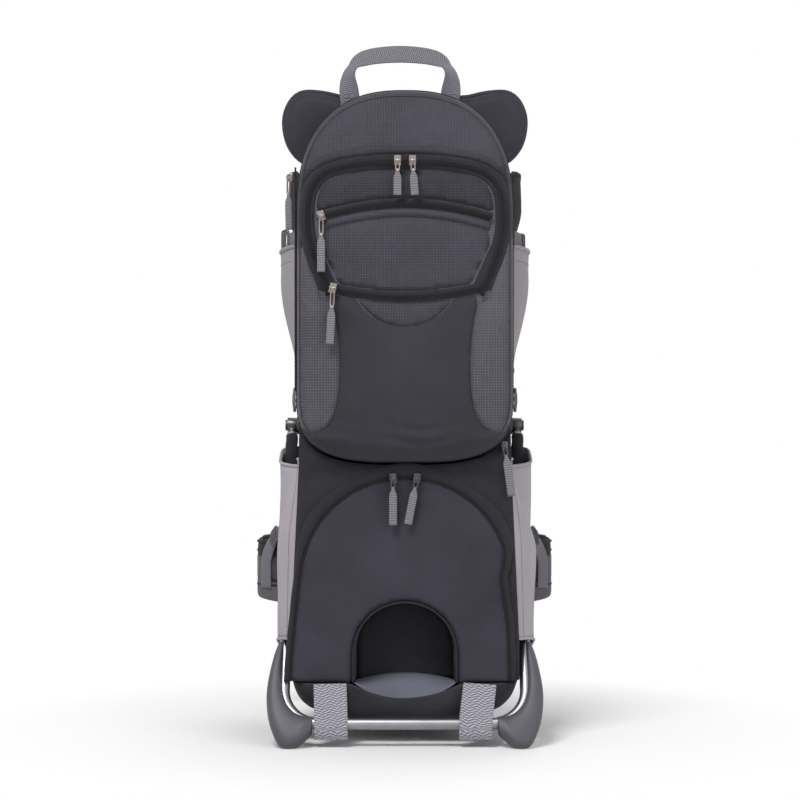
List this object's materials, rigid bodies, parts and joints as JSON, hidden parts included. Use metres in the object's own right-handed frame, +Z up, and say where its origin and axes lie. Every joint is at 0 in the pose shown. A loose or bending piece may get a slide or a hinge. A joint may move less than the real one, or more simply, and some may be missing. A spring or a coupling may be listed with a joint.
{
  "type": "child carrier backpack",
  "caption": "Framed child carrier backpack with padded cockpit, folding kickstand, zip-off daypack, lower storage compartment, hip belt and shoulder straps.",
  "frame": {"origin": "centre of the outline box on the floor plane", "axes": "+X to the right seen from behind the wearer, +Y towards the wearer, +Z up"},
  "size_m": [0.3998, 0.4259, 0.8635],
  "materials": {
    "tube_aluminium": "satin",
    "rubber": "matte",
    "dark_plastic": "fine texture",
    "steel": "satin",
    "zip_metal": "aged nickel",
    "pull_webbing": "woven",
    "grey_webbing": "herringbone weave",
    "black_fabric": "coarse weave",
    "zip_tape": "woven tape",
    "ripstop": "ripstop grid",
    "slate_fabric": "plain weave",
    "light_grey_fabric": "stretch weave"
  },
  "bodies": {
    "carrier": {"main_frame": "tube_aluminium", "cockpit_hoop": "tube_aluminium", "frame_feet": "rubber", "stand_brackets": "dark_plastic", "stand_pivot_pins": "steel", "child_backrest": "black_fabric", "head_wing_left": "black_fabric", "head_wing_right": "black_fabric", "side_panel_left": "black_fabric", "side_panel_right": "black_fabric", "side_pocket_left": "light_grey_fabric", "side_pocket_right": "light_grey_fabric", "compression_straps": "grey_webbing", "face_pad": "black_fabric", "child_harness": "grey_webbing", "harness_buckle": "dark_plastic", "lower_compartment": "slate_fabric", "compartment_yoke": "black_fabric", "compartment_flap": "slate_fabric", "compartment_zip": "zip_tape", "compartment_floor": "ripstop", "base_panel": "black_fabric", "gusset_left": "light_grey_fabric", "gusset_right": "light_grey_fabric", "grab_handle": "grey_webbing", "back_panel": "black_fabric", "lumbar_pad": "black_fabric", "torso_ladder": "grey_webbing"},
    "kickstand": {"kickstand_tube": "tube_aluminium", "stand_foot_left": "dark_plastic", "stand_foot_right": "dark_plastic", "stand_strap_left": "grey_webbing", "stand_strap_right": "grey_webbing"},
    "seat": {"child_seat": "black_fabric"},
    "daypack": {"daypack_body": "ripstop", "upper_pocket": "ripstop", "lower_pocket": "black_fabric", "daypack_zips": "zip_tape"},
    "yoke": {"shoulder_yoke": "black_fabric", "shoulder_strap_left": "black_fabric", "shoulder_strap_right": "black_fabric"},
    "sternum": {"sternum_strap": "dark_plastic"},
    "hip_left": {"hip_fin_left": "black_fabric"},
    "hip_right": {"hip_fin_right": "black_fabric"},
    "buckle_left": {"hip_buckle_left": "dark_plastic"},
    "buckle_right": {"hip_buckle_right": "dark_plastic"},
    "main_slider_left": {"main_slider_left": "zip_metal"},
    "main_slider_right": {"main_slider_right": "zip_metal"},
    "main_pull_left": {"main_pull_left": "pull_webbing"},
    "main_pull_right": {"main_pull_right": "pull_webbing"},
    "upper_slider": {"upper_slider": "zip_metal"},
    "upper_pull": {"upper_pull": "pull_webbing"},
    "lower_slider": {"lower_slider": "zip_metal"},
    "lower_pull": {"lower_pull": "pull_webbing"},
    "side_slider": {"side_slider": "zip_metal"},
    "compartment_slider_left": {"compartment_slider_left": "zip_metal"},
    "compartment_slider_right": {"compartment_slider_right": "zip_metal"},
    "compartment_pull_left": {"compartment_pull_left": "pull_webbing"},
    "compartment_pull_right": {"compartment_pull_right": "pull_webbing"},
    "attachment_pull": {"attachment_pull": "pull_webbing"}
  },
  "joints": [
    {"name": "kickstand_fold", "type": "hinge", "parent": "carrier", "child": "kickstand", "pos_m": [0, 0.055, 0.385], "axis": [1, 0, 0], "range_deg": [0, 28], "deforming": ["lower_compartment", "compartment_flap", "compartment_yoke", "compartment_zip", "compartment_floor", "base_panel", "gusset_left", "gusset_right"]},
    {"name": "seat_height", "type": "slide", "parent": "carrier", "child": "seat", "axis": [0, 0, 1], "range_m": [0, 0.06]},
    {"name": "daypack_lift_off", "type": "slide", "parent": "carrier", "child": "daypack", "axis": [0, -1, 0], "range_m": [0, 0.15]},
    {"name": "torso_length", "type": "slide", "parent": "carrier", "child": "yoke", "axis": [0, 0, 1], "range_m": [-0.04, 0.04]},
    {"name": "sternum_height", "type": "slide", "parent": "yoke", "child": "sternum", "axis": [0, 0, 1], "range_m": [-0.03, 0.03]},
    {"name": "hip_swing_left", "type": "hinge", "parent": "carrier", "child": "hip_left", "pos_m": [-0.099, 0.121, 0.192], "axis": [0, 0, -1], "range_deg": [-15, 15]},
    {"name": "hip_swing_right", "type": "hinge", "parent": "carrier", "child": "hip_right", "pos_m": [0.099, 0.121, 0.192], "axis": [0, 0, 1], "range_deg": [-15, 15]},
    {"name": "buckle_adjust_left", "type": "slide", "parent": "hip_left", "child": "buckle_left", "axis": [1, 0, 0], "range_m": [0, 0.02]},
    {"name": "buckle_adjust_right", "type": "slide", "parent": "hip_right", "child": "buckle_right", "axis": [-1, 0, 0], "range_m": [0, 0.02]},
    {"name": "main_zip_left", "type": "hinge", "parent": "daypack", "child": "main_slider_left", "pos_m": [0, -0.1873, 0.007], "axis": [0, -1, 0], "range_deg": [0, 5.6]},
    {"name": "main_zip_right", "type": "hinge", "parent": "daypack", "child": "main_slider_right", "pos_m": [0, -0.1873, 0.007], "axis": [0, 1, 0], "range_deg": [0, 5.6]},
    {"name": "main_pull_left_swing", "type": "hinge", "parent": "main_slider_left", "child": "main_pull_left", "pos_m": [-0.009, -0.1918, 0.70694], "axis": [-1, 0, 0], "range_deg": [0, 150]},
    {"name": "main_pull_right_swing", "type": "hinge", "parent": "main_slider_right", "child": "main_pull_right", "pos_m": [0.009, -0.1918, 0.70694], "axis": [-1, 0, 0], "range_deg": [0, 150]},
    {"name": "upper_zip", "type": "hinge", "parent": "daypack", "child": "upper_slider", "pos_m": [0, -0.1873, 0.329], "axis": [0, 1, 0], "range_deg": [0, 35]},
    {"name": "upper_pull_swing", "type": "hinge", "parent": "upper_slider", "child": "upper_pull", "pos_m": [-0.101, -0.1918, 0.64001], "axis": [-1, 0, 0], "range_deg": [0, 150]},
    {"name": "lower_zip", "type": "hinge", "parent": "daypack", "child": "lower_slider", "pos_m": [0, -0.1873, 0.932], "axis": [0, -1, 0], "range_deg": [0, 25.5]},
    {"name": "lower_pull_swing", "type": "hinge", "parent": "lower_slider", "child": "lower_pull", "pos_m": [-0.087, -0.1918, 0.55285], "axis": [-1, 0, 0], "range_deg": [0, 150]},
    {"name": "side_zip", "type": "slide", "parent": "daypack", "child": "side_slider", "axis": [0, 0, -1], "range_m": [0, 0.23]},
    {"name": "compartment_zip_left", "type": "hinge", "parent": "carrier", "child": "compartment_slider_left", "pos_m": [0, -0.1665, 0.196], "axis": [0, -1, 0], "range_deg": [0, 75]},
    {"name": "compartment_zip_right", "type": "hinge", "parent": "carrier", "child": "compartment_slider_right", "pos_m": [0, -0.1665, 0.196], "axis": [0, 1, 0], "range_deg": [0, 75]},
    {"name": "compartment_pull_left_swing", "type": "hinge", "parent": "compartment_slider_left", "child": "compartment_pull_left", "pos_m": [-0.01447, -0.171, 0.32298], "axis": [-1, 0, 0], "range_deg": [0, 100]},
    {"name": "compartment_pull_right_swing", "type": "hinge", "parent": "compartment_slider_right", "child": "compartment_pull_right", "pos_m": [0.01447, -0.171, 0.32298], "axis": [-1, 0, 0], "range_deg": [0, 100]},
    {"name": "attachment_pull_swing", "type": "hinge", "parent": "carrier", "child": "attachment_pull", "pos_m": [0.121, -0.171, 0.362], "axis": [-1, 0, 0], "range_deg": [0, 100]}
  ]
}
